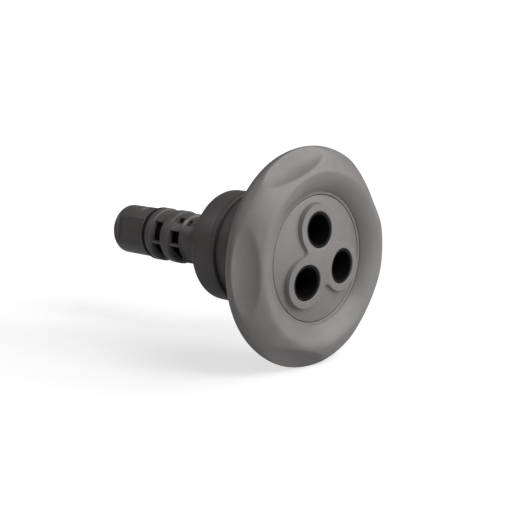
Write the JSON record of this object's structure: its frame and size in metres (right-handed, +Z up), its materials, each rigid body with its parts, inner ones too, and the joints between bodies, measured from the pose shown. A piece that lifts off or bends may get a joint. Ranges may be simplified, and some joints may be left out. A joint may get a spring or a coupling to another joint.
{
  "type": "hot tub jet",
  "caption": "Hot tub jet internal: scalloped face ring round a spinning nozzle disc with ports, on a bearing drum with a caged air and water stem behind it.",
  "frame": {"origin": "on the jet's axis, at the middle of the drum's land, which the jet body holds", "axes": "+X along the jet's axis, out of the face towards the bather; +Z up as in the picture; +Y to the right of someone who looks along +X"},
  "size_m": [0.1099, 0.0826, 0.0826],
  "materials": {
    "face_plastic": "satin",
    "stem_plastic": "satin",
    "wear_plastic": "satin",
    "bearing_plastic": "smooth",
    "ball_steel": "polished",
    "clip_steel": "brushed",
    "seal_rubber": "matte"
  },
  "bodies": {
    "carrier": {"face_ring": "face_plastic", "drum": "stem_plastic", "wear_ring": "wear_plastic", "stem": "stem_plastic", "stem_lock_ring": "stem_plastic", "spigot_o_ring": "seal_rubber", "stem_o_ring": "seal_rubber", "inlet_tip": "stem_plastic", "throat": "stem_plastic", "bearing_outer_race": "bearing_plastic", "bearing_retainer": "stem_plastic"},
    "rotor": {"nozzle_cap": "face_plastic", "nozzle_rotor": "stem_plastic", "bearing_inner_race": "bearing_plastic", "front_thrust_washer": "bearing_plastic", "rear_thrust_washer": "bearing_plastic", "spindle_clip": "clip_steel"},
    "ball_set": {"bearing_balls": "ball_steel", "bearing_cage": "bearing_plastic"}
  },
  "joints": [
    {"name": "rotor_spin", "type": "hinge", "parent": "carrier", "child": "rotor", "pos_m": [0.0121, 0, 0], "axis": [1, 0, 0], "continuous": true},
    {"name": "ball_set_spin", "type": "hinge", "parent": "carrier", "child": "ball_set", "pos_m": [0.0121, 0, 0], "axis": [1, 0, 0], "continuous": true}
  ],
  "couplings": [
    {"joint": "ball_set_spin", "follows": "rotor_spin", "ratio": 0.43566}
  ]
}
